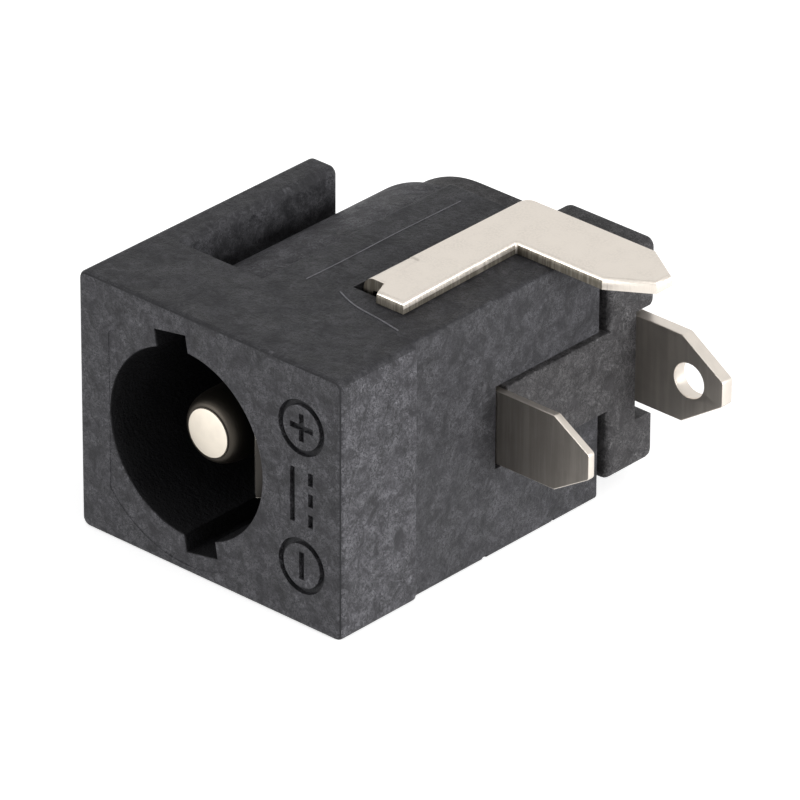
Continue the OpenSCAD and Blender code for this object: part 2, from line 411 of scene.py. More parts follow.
def ring_stroke(z):
    """An engraved ring."""
    depth = [(0.0, -1.0), (0.0, MARK_DEPTH)]
    ring = loft("ring_cut", disc(MARK_R, 48, (MARK_X, z)), depth)
    core = loft("core", disc(MARK_R - STROKE, 48, (MARK_X, z)), [(0.0, -1.1), (0.0, 0.2)])
    return combine(ring, [core], "DIFFERENCE")


half_bar, half_stroke = MARK_R / 2, STROKE / 2
plus_across = stroke(MARK_X - half_bar, MARK_X + half_bar,
                     MARK_PITCH - half_stroke, MARK_PITCH + half_stroke)
plus_along = stroke(MARK_X - half_stroke, MARK_X + half_stroke,
                    MARK_PITCH - half_bar, MARK_PITCH + half_bar)
minus = stroke(MARK_X - half_stroke, MARK_X + half_stroke,
               -MARK_PITCH - half_bar, -MARK_PITCH + half_bar)
marks = [ring_stroke(MARK_PITCH), ring_stroke(-MARK_PITCH),
         combine(plus_across, [plus_along], "UNION"), minus,
         stroke(MARK_X - half_bar, MARK_X - half_bar + STROKE, -MARK_R, MARK_R)]
dash = (2 * MARK_R - 2 * DASH_GAP) / 3
for i in range(3):
    start = -MARK_R + i * (dash + DASH_GAP)
    marks.append(stroke(MARK_X + half_bar - STROKE, MARK_X + half_bar, start, start + dash))
combine(housing, marks, "DIFFERENCE")
print("marks cut:", len(marks))

# %% [markdown]
# ### The witness line
#
# A round insert in the mould forms the socket, and where it meets the rest of the
# cavity it leaves a hair-thin line in the front face. It follows a circle about the
# bore, cut off straight on the side plate's side.

# %% Cut the witness line
WITNESS_R, WITNESS_LEFT = 4.2, 139.6
LINE_W, LINE_DEPTH = 0.07, 0.014


def thicken(line, thickness):
    """A closed anticlockwise outline at half the thickness to each side of a line."""
    left, right = [], []
    for i, point in enumerate(line):
        ahead = line[min(i + 1, len(line) - 1)] - line[max(i - 1, 0)]
        side = Vector((-ahead.y, ahead.x)).normalized() * thickness / 2
        left.append(tuple(point + side))
        right.append(tuple(point - side))
    return right + left[::-1]


witness = [Vector(p) for p in arc((0, 0), WITNESS_R, 126, WITNESS_LEFT, 6)
           + arc((0, 0), WITNESS_R, 360 - WITNESS_LEFT, 292, 30)]
line_cut = loft("witness_cut", thicken(witness, LINE_W), [(0.0, -1.0), (0.0, LINE_DEPTH)])
combine(housing, [line_cut], "DIFFERENCE")
print("witness line:", len(witness), "points")

# %% [markdown]
# ### Flash and a drag mark on the top face
#
# A little plastic creeps between the mould's parts and stays as a thin curved ridge
# behind the flange. Next to it runs a long straight drag mark from when the housing
# was pushed out. Both are a hundredth or two high, and they catch the light. Their
# colour is also painted pale, as a painted highlight.

# %% Raise the flash and the drag mark
MARK_TOP = BODY_TOP + 0.02


def curve_through(points, steps=8):
    """A smooth line through points, by the Catmull-Rom rule."""
    padded = [2 * points[0] - points[1]] + points + [2 * points[-1] - points[-2]]
    line = []
    for p0, p1, p2, p3 in zip(padded, padded[1:], padded[2:], padded[3:]):
        for k in range(steps):
            t = k / steps
            line.append(0.5 * (2 * p1 + (p2 - p0) * t + (2 * p0 - 5 * p1 + 4 * p2 - p3) * t * t
                               + (3 * p1 - p0 - 3 * p2 + p3) * t ** 3))
    return line + [points[-1]]


flash_points = [Vector(p) for p in ((2.41, 4.38), (3.07, 4.11), (3.6, 3.98), (4.53, 3.87),
                                    (5.41, 3.72))]
drag_points = [Vector(p) for p in ((1.08, 4.3), (1.1, 6.0), (1.07, 8.5), (1.1, 11.35))]
ridges = [loft("flash", thicken(curve_through(flash_points), 0.045),
               [(0.0, BODY_TOP - 0.1), (0.0, MARK_TOP)], along="Z"),
          loft("drag_mark", thicken(curve_through(drag_points), 0.03),
               [(0.0, BODY_TOP - 0.1), (0.0, MARK_TOP - 0.008)], along="Z")]
combine(housing, ridges, "UNION")
print("ridges raised:", len(ridges))

# %% Finish the housing's mesh
BORE_PAINTED_SHADE, RIDGE_PAINTED_HIGHLIGHT = -1.0, 2.0


def housing_wear_and_painted_light(centre, normal):
    """Tone per face. The board face is the most scuffed, and the flange's part of it is painted
    lighter than the body's as painted light from the board side. The barrel is brushed and is
    painted paler as a painted grazing reflection. The bore is painted dark as painted shade.
    Front-facing faces set back from the front face are painted darkest as painted shade in
    their recesses. The ridges get a painted highlight, and the top stays smooth.
    """
    from_axis = hypot(centre.x, centre.z)
    # Painted shade: faces inside the socket get a value that paints them dark, for the little light
    # that reaches there.
    if from_axis < GROOVE_R + 0.05 and centre.y > 0.02:
        return BORE_PAINTED_SHADE
    # Painted highlight: the flash and the drag mark get a value that paints them pale.
    if centre.z > BODY_TOP + 0.004 and centre.y > FLANGE_T and centre.x > 0.5:
        return RIDGE_PAINTED_HIGHLIGHT
    # The barrel: brushed, and painted paler as a painted grazing reflection.
    if abs(from_axis - BARREL_R) < 0.1 and centre.y > FLANGE_T:
        return 0.9
    # The board face: scuffed, and painted lighter as painted light from the board side, more on the
    # flange than on the body.
    if normal.x > 0.8:
        return 1.0 if centre.y < FLANGE_T else 0.35
    # Front-facing faces: the front face itself, and painted shade on faces set back from it, such as
    # the floors of the marks.
    if normal.y < -0.8:
        return 0.6 if centre.y < 0.02 else 0.0
    return 0.25


print("edge strips:", store_edges(housing))
store_wear_and_painted_light(housing, housing_wear_and_painted_light)
smooth(housing)

# %% [markdown]
# ## The rear insulator
#
# A second moulding plugs the back of the socket. It is a stiffer, glass-filled
# plastic, so its surface is rougher. The neck and the rim are round, the block beside
# the board is square, and a tongue runs forward in the channel to the sleeve terminal.
# They are lofted and joined as the housing was, with larger soft edges. Faces that
# would lie in one plane are kept a hundredth apart, because a join is cleaner so.

# %% Build the insulator
RIM_FRONT, RIM_REAR = REAR + 0.22, REAR + 1.46
BLOCK_LEFT = BOARD_SIDE - 3.7
BLOCK_HALF = INSULATOR_HIGH.z
TONGUE_FRONT = INSULATOR_LOW.y
TONGUE_HALF = 1.39
GROOVE_BELOW, GROOVE_ABOVE = 2.2, 1.64
STEP = 0.01

rim_half = BLOCK_HALF - STEP
rim_outline = (arc((0.0, 0.0), rim_half, 90, 270, 72)
               + [(BLOCK_LEFT + 1, -rim_half), (BLOCK_LEFT + 1, rim_half)])
insulator = loft("insulator_moulding", rim_outline, rounded(RIM_FRONT, RIM_REAR, 0.1, 0.1))
neck = loft("neck", disc(NECK_R - 0.02), rounded(BORE_DEPTH, RIM_FRONT + 0.3, 0.06))
rear_block = loft("rear_block",
                  soft_rectangle(BLOCK_LEFT, BOARD_SIDE - STEP, -BLOCK_HALF, BLOCK_HALF, 0.36),
                  rounded(RIM_FRONT - STEP, INSULATOR_HIGH.y, 0.2, 0.28))
tongue = loft("tongue",
              soft_rectangle(BORE_R + 0.1, BOARD_SIDE, -TONGUE_HALF, TONGUE_HALF, 0.08, 3),
              rounded(TONGUE_FRONT, RIM_FRONT + 0.6, 0.04))
combine(insulator, [neck, rear_block, tongue], "UNION")

terminal_groove = loft(
    "terminal_groove",
    [(BLOCK_LEFT - 1, -GROOVE_BELOW), (BOARD_SIDE + 1, -GROOVE_BELOW),
     (BOARD_SIDE + 1, GROOVE_ABOVE), (BLOCK_LEFT - 1, GROOVE_ABOVE)],
    [(0.0, RIM_REAR + STEP), (0.0, INSULATOR_HIGH.y - 0.3), (0.2, INSULATOR_HIGH.y + 0.02),
     (0.2, INSULATOR_HIGH.y + 1)])
combine(insulator, [terminal_groove], "DIFFERENCE")
print("edge strips:", store_edges(insulator))
# Faces towards the board get 1 and the rest 0.6, so the board side comes out paler and more fibrous.
store_wear_and_painted_light(insulator, lambda centre, normal: 1.0 if normal.x > 0.7 else 0.6)
smooth(insulator)

# %% [markdown]
# ## The centre pin
#
# The pin is turned brass with a nickel plate: a flat nose, a round shoulder, a shaft
# that the plug slides over, and a riveted head at the back. A turned part is a profile
# spun about its axis, so its mesh is built that way, ring by ring.

# %% Turn the pin
PIN_LOW, PIN_HIGH = box_mm("centre_pin")
PIN_R = PIN_HIGH.x
NOSE_R = 0.86
NOSE_LEN = 0.8
STEM_R = 0.75
RIVET_R = 1.15
CENTRE_T = 0.48


def turned(name, profile, steps=96):
    """A closed solid of revolution about the socket's axis, from (radius, depth) pairs."""
    bm = bmesh.new()
    ends = [bm.verts.new((0, profile[i][1] * MM, 0)) for i in (0, -1)]
    rings = [[bm.verts.new((r * cos(a) * MM, y * MM, r * sin(a) * MM))
              for a in (2 * pi * i / steps for i in range(steps))]
             for r, y in profile[1:-1]]
    for i in range(steps):
        j = (i + 1) % steps
        bm.faces.new((ends[0], rings[0][i], rings[0][j]))
        bm.faces.new((ends[1], rings[-1][j], rings[-1][i]))
        for near, far in zip(rings, rings[1:]):
            bm.faces.new((near[i], far[i], far[j], near[j]))
    bmesh.ops.recalc_face_normals(bm, faces=bm.faces)
    mesh = bpy.data.meshes.new(name)
    bm.to_mesh(mesh)
    bm.free()
    piece = bpy.data.objects.new(name, mesh)
    bpy.context.scene.collection.objects.link(piece)
    return piece


nose = PIN_LOW.y
turned_round = [(NOSE_R + (PIN_R - NOSE_R) * sin(radians(a)),
                 nose + 0.04 + (NOSE_LEN - 0.04) * (1 - cos(radians(a))))
                for a in range(0, 91, 10)]
pin_profile = (
    [(0.0, nose), (NOSE_R - 0.05, nose), (NOSE_R - 0.01, nose + 0.012)] + turned_round
    + [(PIN_R, BORE_DEPTH), (STEM_R, BORE_DEPTH), (STEM_R, RIM_REAR + CENTRE_T),
       (RIVET_R - 0.06, RIM_REAR + CENTRE_T), (RIVET_R, RIM_REAR + CENTRE_T + 0.06),
       (RIVET_R - 0.12, PIN_HIGH.y - 0.06), (RIVET_R - 0.4, PIN_HIGH.y), (0.0, PIN_HIGH.y)]
)
pin = turned("turned_pin", pin_profile)
print("pin, mm:", round(2 * PIN_R, 2), "across,", round(PIN_HIGH.y - PIN_LOW.y, 2), "long")
store_edges(pin, 0.0)
# Painted reflection: faces across the axis, such as the flat nose, and the rivet head get the bright
# colour as a painted reflection of the white room. The round sides get the dark colour as a painted
# dark reflection.
store_wear_and_painted_light(pin, lambda centre, normal: 1.0 if abs(normal.y) > 0.99 or centre.y > RIM_REAR else 0.0)
smooth(pin)

# %% [markdown]
# ## The stamped terminals
#
# Each terminal is cut from tinned sheet. A punch rolls the sheet's edge on one side and
# leaves a torn, bright edge below, so the prisms get a small rolled edge and the faces
# that the punch cut are marked as bright in the face attribute: partly their burnish and
# partly a painted reflection. The broad faces are painted duller, as a painted dark
# reflection. A tail narrows to a blunt tip so that it finds its hole in the board.

# %% The tail's outline
TIP_HALF = 0.43


def tail_outline(start, shoulder, tip, half, tip_half=TIP_HALF, corner=0.14):
    """Full width up to the shoulder, then tapered to a blunt tip with soft corners."""
    points = [(start, -half), (shoulder, -half), (tip, -tip_half),
              (tip, tip_half), (shoulder, half), (start, half)]
    return soften(points, [0, corner, corner, corner, corner, 0])


# %% The centre terminal
CENTRE_LOW, CENTRE_HIGH = box_mm("centre_terminal")
CENTRE_HALF = CENTRE_HIGH.z
EYE_X, EYE_R = BOARD_SIDE + 2.19, 0.6

centre_tail = tail_outline(0.0, BOARD_SIDE + 1.9, CENTRE_HIGH.x, CENTRE_HALF)
centre_outline = centre_tail + arc((0, 0), CENTRE_HALF, 90, 270, 40)[1:-1]
centre = loft("centre_stamping", centre_outline,
              rounded(CENTRE_LOW.y, CENTRE_HIGH.y, 0.03, 0.06, 3))
eye = loft("eye_cut", disc(EYE_R, 64, (EYE_X, 0.0)), flared(CENTRE_LOW.y, CENTRE_HIGH.y + 1, 0.03))
stem_hole = loft("stem_hole", disc(STEM_R + 0.02, 64),
                 [(0.0, CENTRE_LOW.y - 1), (0.0, CENTRE_HIGH.y + 1)])
combine(centre, [eye, stem_hole], "DIFFERENCE")
print("edge strips:", store_edges(centre, 0.06))
# Painted reflection: the broad faces get a middle value, painted duller as a dark reflection. The cut
# edges are bright, partly burnish and partly a painted reflection.
store_wear_and_painted_light(centre, lambda middle, normal: 0.4 if abs(normal.y) > 0.9 else 1.0)
smooth(centre)

# %% [markdown]
# ### The sleeve spring
#
# The sleeve's terminal turns forward into a leaf spring that runs beside the bore and
# bows into it. The leaf is one curved sheet, so it is drawn as a smooth centre line,
# thickened on both sides and given its width in one loft.

# %% The spring's centre line
SLEEVE_HIGH = box_mm("sleeve_spring")[1]
SLEEVE_T = 0.28
SLEEVE_Y = TONGUE_FRONT - SLEEVE_T
SLEEVE_HALF = 1.29
SPRING_HALF = 1.05
FLAT_X = 3.36
leaf_points = [Vector(p) for p in (
    (2.72, 0.45), (2.42, 0.95), (FLAT_X - 0.3, 2.6), (FLAT_X, 4.6), (FLAT_X, 6.7),
    (FLAT_X + 0.12, 7.2), (FLAT_X + 0.42, 7.42), (FLAT_X + 0.8, 7.42))]
print("the spring lies flat at x =", FLAT_X, "mm and bows in to", leaf_points[1].x, "mm")

# %% Build the sleeve spring
leaf_outline = thicken(curve_through(leaf_points), SLEEVE_T)
sleeve_tail = tail_outline(FLAT_X + 0.6, BOARD_SIDE + 2.15, SLEEVE_HIGH.x, SLEEVE_HALF)
sleeve = loft("sleeve_stamping", sleeve_tail, rounded(SLEEVE_Y, TONGUE_FRONT, 0.03, 0.05, 3))
leaf = loft("leaf", leaf_outline, rounded(-SPRING_HALF, SPRING_HALF, 0.05, 0.05, 3), along="Z")
EAR_FRONT, EAR_REAR, EAR_TOP = 5.5, 6.5, 2.3
ear_sides = FLAT_X - SLEEVE_T / 2, FLAT_X + SLEEVE_T / 2
ear = loft("ear", [(ear_sides[0], EAR_FRONT), (ear_sides[1], EAR_FRONT),
                   (ear_sides[1], EAR_REAR), (ear_sides[0], EAR_REAR)],
           rounded(0.0, EAR_TOP, 0.0, 0.04, 3), along="Z")
combine(sleeve, [leaf, ear], "UNION")
print("edge strips:", store_edges(sleeve, 0.06))


def sleeve_painted_light(middle, normal):
    """The leaf is painted dark in its socket as painted shade, the tail's broad faces are painted dull
    as a painted dark reflection, and its cut edges are bright: burnish and a painted reflection.
    """
    if middle.x < BORE_R + 1:
        return 0.0
    return 0.34 if abs(normal.y) > 0.9 else 1.0


store_wear_and_painted_light(sleeve, sleeve_painted_light)
smooth(sleeve)

# %% [markdown]
# ### The switch terminal
#
# The third terminal is an L-shaped strip that lies on the housing's top face. Its short
# arm reaches over the board, and a leg at its near end is bent down into the housing,
# where the spring's ear rests on it while no plug is in. The strip is one loft along Z
# and the leg, with its bend, is one along Y, so that both keep their true section.

# %% Build the switch terminal
SWITCH_LOW, SWITCH_HIGH = box_mm("switch_terminal")
SWITCH_T = SWITCH_HIGH.z - TOP
BEND_LINE, FREE_EDGE, STRIP_RIGHT = 3.17, 2.93, 4.87
STRIP_FRONT, STRIP_REAR = 4.55, SWITCH_HIGH.y
LEG_FRONT, LEG_REAR = 5.1, 6.9
ARM_WIDTH = 2.53
ARM_FRONT = STRIP_REAR - ARM_WIDTH
ARM_MIDDLE = (ARM_FRONT + STRIP_REAR) / 2
ARM_SHOULDER = BOARD_SIDE + 1.75
ARM_TIP_HALF = 0.36
NOTCH_START, NOTCH_END = BEND_LINE + 0.33, BEND_LINE + 0.58
LEG_ROOT = BEND_LINE + 0.1
BEND_R = 0.05
BEND_OUTER = BEND_R + SWITCH_T
LAP = 0.4
ROLLED = 0.1
STRIP_TAPER = 0.13
SHEARED = 0.17

strip_points = [
    (LEG_ROOT, LEG_FRONT), (NOTCH_START, LEG_FRONT), (NOTCH_END, STRIP_FRONT),
    (STRIP_RIGHT, STRIP_FRONT), (STRIP_RIGHT - STRIP_TAPER, ARM_FRONT), (ARM_SHOULDER, ARM_FRONT),
    (SWITCH_HIGH.x, ARM_MIDDLE - ARM_TIP_HALF), (SWITCH_HIGH.x, ARM_MIDDLE + ARM_TIP_HALF),
    (ARM_SHOULDER, STRIP_REAR), (FREE_EDGE, STRIP_REAR), (FREE_EDGE, LEG_REAR),
    (LEG_ROOT, LEG_REAR)]
strip_corners = [0, 0, 0, 0, 0.05, 0, 0, 0, 0, 0.4, 0, 0]
rolled_edge = [(0.0, TOP), (0.0, TOP + SHEARED), (-0.015, SWITCH_HIGH.z - 0.1),
               (-0.04, SWITCH_HIGH.z - 0.04), (-ROLLED, SWITCH_HIGH.z)]
switch = loft("switch_stamping", soften(strip_points, strip_corners), rolled_edge, along="Z")

bend_middle = (BEND_LINE, TOP - BEND_R)
leg_outline = (arc(bend_middle, BEND_OUTER - STEP, 90, 180, 10)
               + [(BEND_LINE - BEND_OUTER, SWITCH_LOW.z + 0.1),
                  (BEND_LINE - BEND_OUTER + 0.1, SWITCH_LOW.z),
                  (BEND_LINE - BEND_R, SWITCH_LOW.z)]
               + arc(bend_middle, BEND_R, 180, 90, 4)
               + [(BEND_LINE + LAP, TOP + STEP), (BEND_LINE + LAP, SWITCH_HIGH.z - STEP)])
leg = loft("leg", leg_outline, [(0.0, LEG_FRONT), (0.0, LEG_REAR)])
combine(switch, [leg], "UNION")
print("edge strips:", store_edges(switch, 0.06))


def switch_painted_light(middle, normal):
    """The top face, the tail's tip and the strip's upper edge get the bright colour, partly burnish and
    partly a painted reflection of the white room. The other faces get the dark colour as a painted dark
    reflection.
    """
    at_tip = middle.x > ARM_SHOULDER - 0.1
    upper_edge = normal.x > 0.5 and middle.z > TOP + SHEARED
    return 1.0 if normal.z > 0.3 or at_tip else 0.8 if upper_edge else 0.1


store_wear_and_painted_light(switch, switch_painted_light)
smooth(switch)

# %% [markdown]
# ## Finishes
#
# The finishes are shader nodes. Several effects are shared: the fine grain of a
# moulding, wear on edges, and fibres. Each is a node group, built once, with its own
# inputs, and each material sets them to suit. All of them work in millimetres, on the
# object's own coordinates, so that nothing stretches or slides.

# %% Node helpers
def add(tree, kind, at, **settings):
    """A node of a kind, at a place, with its settings."""
    node = tree.nodes.new(kind)
    node.location = at
    for name, value in settings.items():
        setattr(node, name, value)
    return node


def wire(tree, source, node, socket):
    """Connect an output to an input, or set the input when the source is a plain value."""
    target = node.inputs[socket]
    if isinstance(source, bpy.types.NodeSocket):
        tree.links.new(source, target)
    else:
        target.default_value = source
    return node


def math(tree, operation, first, second, at, clamp=False):
    """One Math node."""
    node = add(tree, "ShaderNodeMath", at, operation=operation, use_clamp=clamp)
    wire(tree, first, node, 0)
    wire(tree, second, node, 1)
    return node.outputs[0]


def remap(tree, value, low, high, at, to_low=0.0, to_high=1.0):
    """A smooth step of a value between two limits."""
    node = add(tree, "ShaderNodeMapRange", at, interpolation_type="SMOOTHSTEP")
    for socket, source in enumerate((value, low, high, to_low, to_high)):
        wire(tree, source, node, socket)
    return node.outputs[0]


def noise(tree, position, scale, detail, rough, at, stretch=None, swirl=0.0):
    """Noise over a position in millimetres, stretched or swirled if asked."""
    if stretch:
        scaled = add(tree, "ShaderNodeVectorMath", (at[0] - 180, at[1]), operation="MULTIPLY")
        wire(tree, position, scaled, 0)
        scaled.inputs[1].default_value = stretch
        position = scaled.outputs[0]
    node = add(tree, "ShaderNodeTexNoise", at)
    wire(tree, position, node, "Vector")
    wire(tree, scale, node, "Scale")
    wire(tree, detail, node, "Detail")
    wire(tree, rough, node, "Roughness")
    wire(tree, swirl, node, "Distortion")
    return node.outputs["Fac"]


def new_group(name, inputs, outputs):
    """An empty node group with named sockets."""
    group = bpy.data.node_groups.new(name, "ShaderNodeTree")
    for label, kind, value in inputs:
        socket = group.interface.new_socket(label, in_out="INPUT", socket_type=kind)
        if value is not None:
            socket.default_value = value
    for label in outputs:
        group.interface.new_socket(label, in_out="OUTPUT", socket_type="NodeSocketFloat")
    start = add(group, "NodeGroupInput", (-900, 0))
    end = add(group, "NodeGroupOutput", (700, 0))
    return group, start.outputs, end


FLOAT, VECTOR = "NodeSocketFloat", "NodeSocketVector"

# %% [markdown]
# ### Grain, wear and fibres
#
# A mould's cavity is spark-eroded, which leaves a fine even grain with a slow mottle
# from the flow of the plastic. One noise gives each. Wear needs the `edge` attribute:
# noise breaks it up, so that an edge is worn in places. The plastic is filled with short
# glass fibres, which show as pale winding strands and clouds where the skin is rough.
# A swirled noise crosses its middle value along just such lines.

# %% The grain group
grain_group, given, made = new_group(
    "Moulded grain",
    [("Position", VECTOR, None), ("Grain", FLOAT, 9.0), ("Mottle", FLOAT, 1.6),
     ("Speck", FLOAT, 22.0)],
    ["Height", "Mottle", "Specks"])
fine = noise(grain_group, given["Position"], given["Grain"], 5.0, 0.62, (-500, 200))
slow = noise(grain_group, given["Position"], given["Mottle"], 4.0, 0.6, (-500, -50))
dots = noise(grain_group, given["Position"], given["Speck"], 2.0, 0.5, (-500, -300))
wire(grain_group, fine, made, "Height")
wire(grain_group, remap(grain_group, slow, 0.32, 0.68, (-200, -50)), made, "Mottle")
wire(grain_group, remap(grain_group, dots, 0.66, 0.78, (-200, -300)), made, "Specks")

# %% The edge wear group
wear_group, given, made = new_group(
    "Edge wear",
    [("Position", VECTOR, None), ("Edge", FLOAT, 0.0), ("Patch", FLOAT, 1.2),
     ("Spread", FLOAT, 0.5)],
    ["Mask"])
patches = noise(wear_group, given["Position"], given["Patch"], 6.0, 0.65, (-500, 100))
limit = math(wear_group, "SUBTRACT", 1.0, given["Spread"], (-500, -150))
upper = math(wear_group, "ADD", limit, 0.22, (-350, -150))
broken = remap(wear_group, patches, limit, upper, (-150, 0))
wire(wear_group, math(wear_group, "MULTIPLY", broken, given["Edge"], (200, 0), True), made, "Mask")

# %% The fibre group
fibre_group, given, made = new_group(
    "Fibres",
    [("Position", VECTOR, None), ("Rub", FLOAT, 0.0), ("Size", FLOAT, 3.4)],
    ["Mask", "Cloud"])


def strand(scale, swirl, width, at):
    """Thin winding lines, where a swirled noise crosses its middle value."""
    swirled = noise(fibre_group, given["Position"], scale, 4.0, 0.6, at, swirl=swirl)
    offset = math(fibre_group, "SUBTRACT", swirled, 0.5, (at[0] + 170, at[1]))
    offset = math(fibre_group, "ABSOLUTE", offset, 0.0, (at[0] + 330, at[1]))
    return remap(fibre_group, offset, 0.0, width, (at[0] + 480, at[1]), 1.0, 0.0)


small = math(fibre_group, "MULTIPLY", given["Size"], 2.2, (-850, -150))
long_strands = strand(given["Size"], 1.4, 0.05, (-700, 300))
short_strands = strand(small, 1.0, 0.07, (-700, 50))
tangle = math(fibre_group, "MAXIMUM", long_strands, short_strands, (-50, 200))
patch = noise(fibre_group, given["Position"], 1.7, 6.0, 0.7, (-700, -350), swirl=0.6)
patchy = remap(fibre_group, patch, 0.34, 0.7, (-250, -350))
tangle = math(fibre_group, "MULTIPLY", tangle, patchy, (150, 100))
# The strands and clouds are scaled by the face attribute, so they also carry its painted light, such as
# the barrel's painted grazing reflection.
wire(fibre_group, math(fibre_group, "MULTIPLY", tangle, given["Rub"], (400, 100), True),
     made, "Mask")
wire(fibre_group, math(fibre_group, "MULTIPLY", patchy, given["Rub"], (400, -200), True),
     made, "Cloud")
print("groups:", grain_group.name, wear_group.name, fibre_group.name)


# %% Starting a material
def start_finish(name):
    """A material with its shader, its position in millimetres and its two attributes."""
    finish = bpy.data.materials.new(name)
    finish.use_nodes = True
    tree = finish.node_tree
    tree.nodes.clear()
    output = add(tree, "ShaderNodeOutputMaterial", (900, 0))
    shader = add(tree, "ShaderNodeBsdfPrincipled", (600, 0))
    tree.links.new(shader.outputs[0], output.inputs["Surface"])
    place = add(tree, "ShaderNodeTexCoord", (-1500, 0))
    scaled = add(tree, "ShaderNodeVectorMath", (-1300, 0), operation="SCALE")
    tree.links.new(place.outputs["Object"], scaled.inputs[0])
    scaled.inputs["Scale"].default_value = 1 / MM
    edge = add(tree, "ShaderNodeAttribute", (-1300, -250), attribute_name="edge")
    wear_and_painted_light = add(tree, "ShaderNodeAttribute", (-1300, -450), attribute_name="wear_and_painted_light")
    return finish, tree, shader, scaled.outputs[0], edge.outputs["Fac"], wear_and_painted_light.outputs["Fac"]


def place_group(tree, group, at, **inputs):
    """A copy of a shared group in a material, with its inputs set."""
    node = add(tree, "ShaderNodeGroup", at, node_tree=group)
    for label, value in inputs.items():
        wire(tree, value, node, label)
    return node.outputs


def blend(tree, share, first, second, at):
    """A colour between two others."""
    node = add(tree, "ShaderNodeMix", at, data_type="RGBA")
    wire(tree, share, node, 0)
    for socket, colour in ((6, first), (7, second)):
        wire(tree, colour if isinstance(colour, bpy.types.NodeSocket) else (*colour, 1.0),
             node, socket)
    return node.outputs[2]


def bump(tree, height, distance, at, normal=None):
    """A bump whose full height is a distance in millimetres."""
    node = add(tree, "ShaderNodeBump", at)
    node.inputs["Distance"].default_value = distance * MM
    wire(tree, height, node, "Height")
    if normal:
        wire(tree, normal, node, "Normal")
    return node.outputs["Normal"]


# %% [markdown]
# ### The two plastics
#
# Both mouldings are charcoal: a slow mottle, a few pale specks, pale fibres on the
# faces that are scuffed, and pale wear along the edges. The per-face tone also paints
# light: faces where the light falls, such as the flange's board face and the barrel, are painted
# paler, and the ridges on the top face get a painted highlight. Inside the socket little
# light arrives, so the colour there is painted darker as painted shade. The insulator is a
# little rougher, with a coarser grain and mottle. One recipe makes both, and each has its own values.

# %% The plastic recipe
def plastic(name, dark, mid, pale, grain, depth, rough, mottle_size, wear):
    """A moulded plastic with grain, mottle, fibres and worn edges, and with painted light, painted
    shade and painted highlights set by the face attribute.
    """
    finish, tree, shader, position, edge, wear_and_painted_light = start_finish(name)
    grained = place_group(tree, grain_group, (-900, 300), Position=position, Grain=grain,
                          Mottle=mottle_size)
    worn = place_group(tree, wear_group, (-900, 0), Position=position, Edge=edge, Spread=wear)
    fibres = place_group(tree, fibre_group, (-900, -300), Position=position, Rub=wear_and_painted_light)
    # The face attribute sets how far the mottle lifts the colour: partly scuffing, and partly painted
    # light on faces where light falls.
    tone = math(tree, "MULTIPLY", grained["Mottle"], wear_and_painted_light, (-650, 420), True)
    colour = blend(tree, tone, dark, mid, (-500, 350))
    cloud = math(tree, "MULTIPLY", fibres["Cloud"], 0.12, (-650, -150))
    colour = blend(tree, cloud, colour, pale, (-300, 330))
    strands = math(tree, "MULTIPLY", fibres["Mask"], 0.85, (-500, -300))
    colour = blend(tree, strands, colour, pale, (-100, 300))
    flecks = math(tree, "MULTIPLY", grained["Specks"], 0.35, (-500, 150))
    colour = blend(tree, flecks, colour, pale, (100, 250))
    rubbed = math(tree, "MULTIPLY", worn["Mask"], 0.55, (-500, 0))
    colour = blend(tree, rubbed, colour, pale, (300, 200))
    # Painted highlight: the ridges on the top face are painted pale.
    painted_ridge_highlight = remap(tree, wear_and_painted_light, 1.2, 1.8, (300, 450))
    colour = blend(tree, math(tree, "MULTIPLY", painted_ridge_highlight, 0.8, (400, 400)), colour, pale, (450, 300))
    # Painted shade: the inside of the socket is painted darker.
    painted_bore_shade = remap(tree, wear_and_painted_light, -0.8, -0.2, (300, 600), 0.55, 1.0)
    colour = blend(tree, painted_bore_shade, (0.0, 0.0, 0.0), colour, (500, 200))
    wire(tree, colour, shader, "Base Color")
    roughness = remap(tree, grained["Mottle"], 0.0, 1.0, (100, -50), rough - 0.06, rough + 0.1)
    wire(tree, roughness, shader, "Roughness")
    shader.inputs["Specular IOR Level"].default_value = 0.15
    raised = math(tree, "ADD", math(tree, "MULTIPLY", fibres["Mask"], 0.5, (-300, -400)),
                  math(tree, "MULTIPLY", fibres["Cloud"], 0.4, (-300, -550)), (-150, -450))
    heights = math(tree, "ADD", grained["Height"], raised, (0, -350))
    wire(tree, bump(tree, heights, depth, (300, -300)), shader, "Normal")
    return finish


housing_finish = plastic("housing charcoal", (0.02, 0.02, 0.022), (0.038, 0.037, 0.041),
                         (0.27, 0.267, 0.29), 7.0, 0.06, 0.5, 1.1, 0.42)
insulator_finish = plastic("insulator charcoal", (0.021, 0.02, 0.021), (0.04, 0.038, 0.04),
                           (0.22, 0.215, 0.22), 5.0, 0.07, 0.58, 2.2, 0.42)
print("plastics:", housing_finish.name, "and", insulator_finish.name)

# %% [markdown]
# ### The plated metals
#
# Nickel and tin are bright where they are burnished or freshly cut, and a little brown
# where they have only been rolled. The face attribute picks the colour, and it also paints
# reflection. Faces that would mirror the white room, such as top faces and the pin's nose,
# get the bright colour as a painted reflection. Faces that would mirror dark
# surroundings get a dark colour as a painted dark reflection. Worn edges go bright too,
# partly as wear and partly as a painted highlight.
# Rolling leaves fine lines along the sheet, and turning leaves rings.

